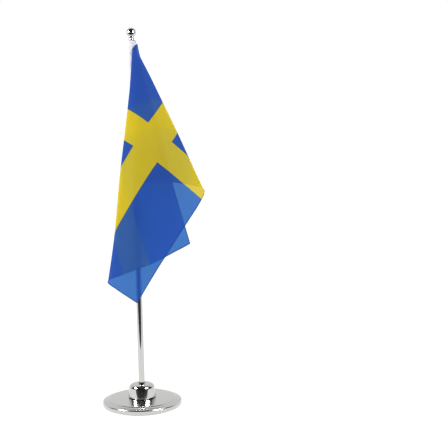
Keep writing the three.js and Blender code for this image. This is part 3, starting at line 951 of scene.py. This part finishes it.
def tube_along(path, radius, sides=8):
    """Vertices and faces of a closed tube along a path, with its ends filled."""
    along = np.gradient(path, axis=0)
    along /= np.linalg.norm(along, axis=1)[:, None]
    side = np.cross(along[0], [0.3, 0.2, 0.9])
    vertices, faces = [], []
    for centre, forward in zip(path, along):
        side = side - forward * (side @ forward)
        side /= np.linalg.norm(side)
        other = np.cross(forward, side)
        for k in range(sides):
            turn = 2 * math.pi * k / sides
            vertices.append(centre + radius * (math.cos(turn) * side + math.sin(turn) * other))
    for i in range(len(path) - 1):
        for k in range(sides):
            m = (k + 1) % sides
            faces.append((i * sides + k, i * sides + m, (i + 1) * sides + m, (i + 1) * sides + k))
    faces.append(tuple(range(sides))[::-1])
    faces.append(tuple(range((len(path) - 1) * sides, len(path) * sides)))
    return vertices, faces


def edge_path():
    """Along the top edge from the seam, round the free corner and back to the seam at the bottom."""
    top_distance = np.linspace(3 * MM, cloth_length, 160)
    top_flat = np.stack([top_distance, 0 * top_distance], 1)
    fly_down = np.linspace(0, cloth_drop, 110)[1:]
    fly_flat = np.stack([0 * fly_down + cloth_length, fly_down], 1)
    back = np.linspace(cloth_length, 1 * MM, 160)[1:]
    bottom_flat = np.stack([back, 0 * back + cloth_drop], 1)
    edge = np.concatenate([top_flat, fly_flat, bottom_flat])
    distance = np.hypot(edge[:, 0], edge[:, 1])
    angle = np.degrees(np.arctan2(edge[:, 1], edge[:, 0]))
    return cloth_point(distance, angle), edge


hem_path, hem_flat = edge_path()
vertices, faces = tube_along(hem_path, HEM_RADIUS)
hem = mesh_piece("flag_rolled_hem", vertices, faces)
layer = hem.data.uv_layers.new(name=THREADS)
hem_uv = np.repeat(hem_flat + [SEAM_ALLOWANCE, TOP_HEM], 8, 0)
corners = np.empty(len(hem.data.loops), int)
hem.data.loops.foreach_get("vertex_index", corners)
layer.uv.foreach_set("vector", hem_uv[corners].astype(np.float32).ravel())
settle(hem, "flag", hem_print_painted_darker, "printed_cloth")

# %% [markdown]
# ## The sleeve
#
# The sleeve is a strip of white cloth folded round the pole and stitched to the hoist edge. Across,
# it is a loop with a flat tail. It isn't pulled tight, so it wanders round the pole in shallow
# wrinkles, and its top edge dips towards the tail, where the stitching gathers it. It is a sheet
# with a real thickness, so its cut ends show an edge.

# %% The sleeve
SLEEVE_CLOTH = 0.3 * MM
sleeve_radius = -sleeve_low.x - 0.5 * SLEEVE_CLOTH
tail_y = corner[1]


def sleeve_line():
    """The loop across the sleeve: out along the front of the tail, round the pole and back."""
    turn = math.degrees(math.atan2(tail_y, seam_x))
    start, end = turn - 42, turn - 318
    loop = arc(0, 0, sleeve_radius, start, end, 60)
    tail_front = [(seam_x, tail_y - 0.55 * MM)]
    tail_back = [(seam_x, tail_y + 0.2 * MM)]
    line = np.array(tail_front + loop + tail_back)
    steps = np.r_[0, np.cumsum(np.linalg.norm(np.diff(line, axis=0), axis=1))]
    even = np.linspace(0, steps[-1], 97)
    return np.stack([np.interp(even, steps, line[:, k]) for k in (0, 1)], 1), even


def sleeve_points():
    across, along = sleeve_line()
    heights = np.linspace(0, 1, 260)
    share = along / along[-1]
    near_tail = np.abs(2 * share - 1) ** 6
    points = np.zeros((len(heights), len(across), 3))
    outward = across / np.linalg.norm(across, axis=1)[:, None]
    for i, h in enumerate(heights):
        top_dip = 2.6 * MM * near_tail * smoothstep(h, 0.9, 1)
        z = sleeve_low.z + (sleeve_high.z - sleeve_low.z - top_dip) * h
        wrinkle = 0.13 * np.sin(58 * h + 9 * share) + 0.09 * np.sin(131 * h - 15 * share + 1)
        loose = np.clip(1 - near_tail * 1.4, 0, 1)
        points[i, :, :2] = across + outward * ((wrinkle * MM) * loose)[:, None]
        points[i, :, 2] = z
    return points, np.stack(np.meshgrid(along, heights * (sleeve_high.z - sleeve_low.z)), -1)


def thickened(piece, thickness):
    """Gives a sheet its thickness as real geometry."""
    solid = piece.modifiers.new("thickness", "SOLIDIFY")
    solid.thickness = thickness
    solid.offset = 0
    bpy.context.view_layer.objects.active = piece
    with bpy.context.temp_override(object=piece, active_object=piece):
        bpy.ops.object.modifier_apply(modifier=solid.name)
    return piece


points, sleeve_flat = sleeve_points()
sleeve = thickened(grid_piece("white_sewn_sleeve", points, sleeve_flat), SLEEVE_CLOTH)
settle(sleeve, "flag", white, "white_cloth", "flag_sleeve")

# %% [markdown]
# Two rows of lockstitch hold the sleeve's tail to the cloth. Each stitch is a short, slightly arched
# run of thread, with a gap where it dives into the cloth. They are small tubes in one mesh.

# %% Stitches
STITCH = 2.2 * MM
THREAD_RADIUS = 0.14 * MM


def stitch_row(x, y, low, high, face):
    """A row of stitches up a seam at x, y. Face is the side that they stand on, -1 or 1."""
    made, faces = [], []
    for k in range(int((high - low) / STITCH)):
        rise = np.linspace(0.12, 0.88, 7) * STITCH
        arch = np.sin(np.linspace(0, math.pi, 7)) * 0.14 * MM
        path = np.stack([0 * rise + x, y + face * arch, low + k * STITCH + rise], 1)
        vertices, around = tube_along(path, THREAD_RADIUS, 6)
        faces += [tuple(len(made) + n for n in face_around) for face_around in around]
        made += vertices
    return made, faces


row_low, row_high = sleeve_low.z + 1.5 * MM, corner[2] - 1.5 * MM
vertices, faces = stitch_row(seam_x - 0.7 * MM, tail_y - 0.75 * MM, row_low, row_high, -1)
behind, behind_faces = stitch_row(seam_x - 0.7 * MM, tail_y + 0.4 * MM, row_low, row_high, 1)
faces += [tuple(len(vertices) + n for n in face) for face in behind_faces]
seam = mesh_piece("sleeve_seam_stitches", vertices + behind, faces)
settle(seam, "flag", white_thread, "white_cloth")

# %% [markdown]
# ## The studio
#
# Polished metal is a picture of its room, so the room matters as much as the metal. The stand is
# on a pale floor with a bright backdrop behind it, the room in front is dark, and two round
# softboxes, 30 cm across, stand to the left and right of the camera. The backdrop and the dark room are the
# world itself, bright on the far side and dark on the near side; the camera sees it as plain white.

# %% The world
BACKDROP = 0.88
DARK_ROOM = 0.03


def studio_world():
    world = bpy.data.worlds.new("studio")
    world.use_nodes = True
    tree = world.node_tree
    tree.nodes.clear()
    towards = add(tree, "ShaderNodeTexCoord").outputs["Generated"]
    away = add(tree, "ShaderNodeSeparateXYZ", links={"Vector": towards}).outputs["Y"]
    far_side = add(
        tree,
        "ShaderNodeMapRange",
        {
            "interpolation_type": "SMOOTHSTEP",
            "From Min": 0.18,
            "From Max": 0.38,
            "To Min": DARK_ROOM,
            "To Max": BACKDROP,
        },
        {"Value": away},
    )
    white_light = {"Color": linear("FFFFFF")}
    room = add(tree, "ShaderNodeBackground", white_light, {"Strength": far_side.outputs[0]})
    plain = add(tree, "ShaderNodeBackground", {**white_light, "Strength": 1.0})
    seen = add(tree, "ShaderNodeLightPath").outputs["Is Camera Ray"]
    both = add(tree, "ShaderNodeMixShader", links={0: seen, 1: room.outputs[0], 2: plain.outputs[0]})
    add(tree, "ShaderNodeOutputWorld", links={"Surface": both.outputs[0]})
    return world


bpy.context.scene.world = studio_world()
bpy.context.scene.view_settings.view_transform = "Standard"

# %% [markdown]
# The floor is a wide pale sheet. In front of it, past the edge of what the camera sees, the real
# table ends and the dark room begins: a dark card on the floor stands for that, and it is only
# there to be reflected, so the camera doesn't see it.

# %% Floor and dark card


def flat_square(name, low, high, z):
    vertices = [(low[0], low[1], z), (high[0], low[1], z), (high[0], high[1], z), (low[0], high[1], z)]
    return mesh_piece(name, vertices, [(0, 1, 2, 3)], smooth=False)


def painted(name, colour, rough, light=0.0):
    """A matt paint. Light is how much white it sends out by itself."""
    made, tree = material(name)
    shader = add(
        tree,
        "ShaderNodeBsdfPrincipled",
        {
            "Base Color": linear(colour),
            "Roughness": rough,
            "Emission Color": linear("FFFFFF"),
            "Emission Strength": light,
        },
    )
    finish_with(tree, shader.outputs[0])
    return made


floor = flat_square("studio_floor", (-30, -30), (30, 30), -0.1 * MM)
floor.data.materials.append(painted("pale_paper", "383838", 0.95, light=1.0))
TABLE_FRONT = -0.235
card = flat_square("dark_card", (-3, -5), (3, TABLE_FRONT), 1 * MM)
card.data.materials.append(painted("black_card", "0A0A0A", 0.9))
card.visible_camera = False
card.visible_shadow = False

# %% [markdown]
# Each softbox is a round area light, a little above the ball and well out to the side, turned to
# face the flag's middle. The ball and the hub show each one as a small bright spot.

# %% Softboxes


def softbox(name, place, diameter, power):
    light = bpy.data.lights.new(name, "AREA")
    light.shape = "DISK"
    light.size = diameter
    light.energy = power
    lamp = bpy.data.objects.new(name, light)
    bpy.context.scene.collection.objects.link(lamp)
    lamp.location = place
    way = np.array(place) - FLAG_MIDDLE
    lamp.rotation_euler = Vector(way).to_track_quat("Z", "Y").to_euler()
    lamp.visible_camera = False
    return lamp


FLAG_MIDDLE = np.array([0.03, 0.0, 0.25])
softbox("softbox_left", (-0.56, -0.25, 0.55), 0.3, 10.0)
softbox("softbox_right", (0.50, -0.36, 0.55), 0.3, 7.3)

# %% [markdown]
# ## The camera
#
# A long lens a little above the flag's middle, rolled by about a degree, so that the pole leans
# slightly in the frame.

# %% Camera
AIM = np.array([86.7, 0.0, 184.7]) * MM
DISTANCE = 1.3
ELEVATION = math.radians(8.81)
ROLL = math.radians(-1.153)
LENS = 104.8

camera = bpy.data.objects.new("camera", bpy.data.cameras.new("camera"))
bpy.context.scene.collection.objects.link(camera)
camera.data.lens = LENS
camera.data.sensor_width = 36
camera.data.clip_start = 0.01
back = np.array([0, -math.cos(ELEVATION), math.sin(ELEVATION)])
right = np.array([1.0, 0.0, 0.0])
up = np.cross(back, right)
rolled_right = math.cos(ROLL) * right + math.sin(ROLL) * up
rolled_up = -math.sin(ROLL) * right + math.cos(ROLL) * up
turn = np.eye(4)
turn[:3, 0], turn[:3, 1], turn[:3, 2], turn[:3, 3] = rolled_right, rolled_up, back, AIM + back * DISTANCE
camera.matrix_world = Matrix(turn.tolist())
bpy.context.scene.camera = camera
